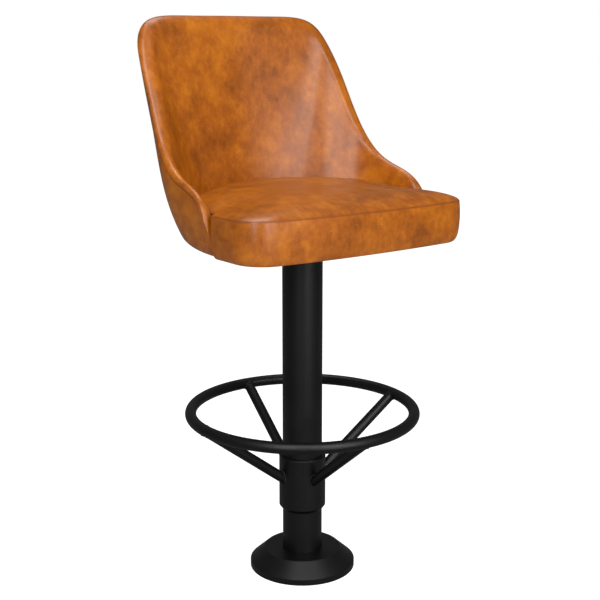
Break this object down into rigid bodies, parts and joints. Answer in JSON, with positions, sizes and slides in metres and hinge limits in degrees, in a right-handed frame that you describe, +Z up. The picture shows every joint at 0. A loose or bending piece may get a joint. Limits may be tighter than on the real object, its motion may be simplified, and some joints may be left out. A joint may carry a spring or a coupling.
{
  "type": "swivel bar stool",
  "caption": "Bar stool with an upholstered bucket seat that swivels on a round steel column, a ring footrest and a floor-fixed base with a bell-shaped cover.",
  "frame": {"origin": "on the floor under the column's axis, in the plane of the floor flange's underside", "axes": "+Z up along the column, -Y the way the sitter faces, +X to the sitter's left"},
  "size_m": [0.502, 0.4826, 1.0551],
  "materials": {
    "black_powder_coat": "satin black powder coat",
    "machined_steel": "turned steel",
    "zinc_steel": "bright zinc plating",
    "bearing_steel": "ground and polished",
    "brass": "turned brass",
    "tan_leather": "semi-gloss, mottled",
    "foam": "open-cell foam",
    "plywood": "raw birch veneer",
    "lining_cloth": "thin non-woven cloth"
  },
  "bodies": {
    "base": {"floor_flange": "black_powder_coat", "column_weld": "black_powder_coat", "column_tube": "black_powder_coat", "bearing_housing": "machined_steel", "spindle_bushes": "brass", "lower_race": "bearing_steel"},
    "base_cover": {"base_cover": "black_powder_coat"},
    "footrest": {"footrest_sleeve": "black_powder_coat", "footrest_ring": "black_powder_coat", "spoke_front": "black_powder_coat", "spoke_right": "black_powder_coat", "spoke_rear": "black_powder_coat", "spoke_left": "black_powder_coat", "footrest_set_screws": "black_powder_coat"},
    "ball_cage": {"ball_cage": "brass", "bearing_balls": "bearing_steel"},
    "seat": {"swivel_hub": "black_powder_coat", "swivel_spindle": "machined_steel", "spindle_washer": "zinc_steel", "spindle_nut": "zinc_steel", "upper_race": "bearing_steel", "swivel_plate": "black_powder_coat", "plate_bolts": "zinc_steel", "tee_nuts": "zinc_steel", "seat_board": "plywood", "front_rail": "plywood", "flange_screws": "zinc_steel", "dust_cover": "lining_cloth", "cushion_band": "tan_leather", "cushion_panel": "tan_leather", "cushion_foam": "foam", "inner_back_cover": "tan_leather", "outer_back_cover": "tan_leather", "back_foam": "foam", "back_shell": "plywood"}
  },
  "joints": [
    {"name": "seat_swivel", "type": "hinge", "parent": "base", "child": "seat", "pos_m": [0, 0, 0.6], "axis": [0, 0, 1], "continuous": true},
    {"name": "ball_cage_turn", "type": "hinge", "parent": "base", "child": "ball_cage", "pos_m": [0, 0, 0.6233], "axis": [0, 0, 1], "continuous": true},
    {"name": "footrest_slide", "type": "slide", "parent": "base", "child": "footrest", "axis": [0, 0, 1], "range_m": [-0.03, 0.16]},
    {"name": "base_cover_lift", "type": "slide", "parent": "base", "child": "base_cover", "axis": [0, 0, 1], "range_m": [0, 0.05]}
  ],
  "couplings": [
    {"joint": "ball_cage_turn", "follows": "seat_swivel", "ratio": 0.5}
  ]
}
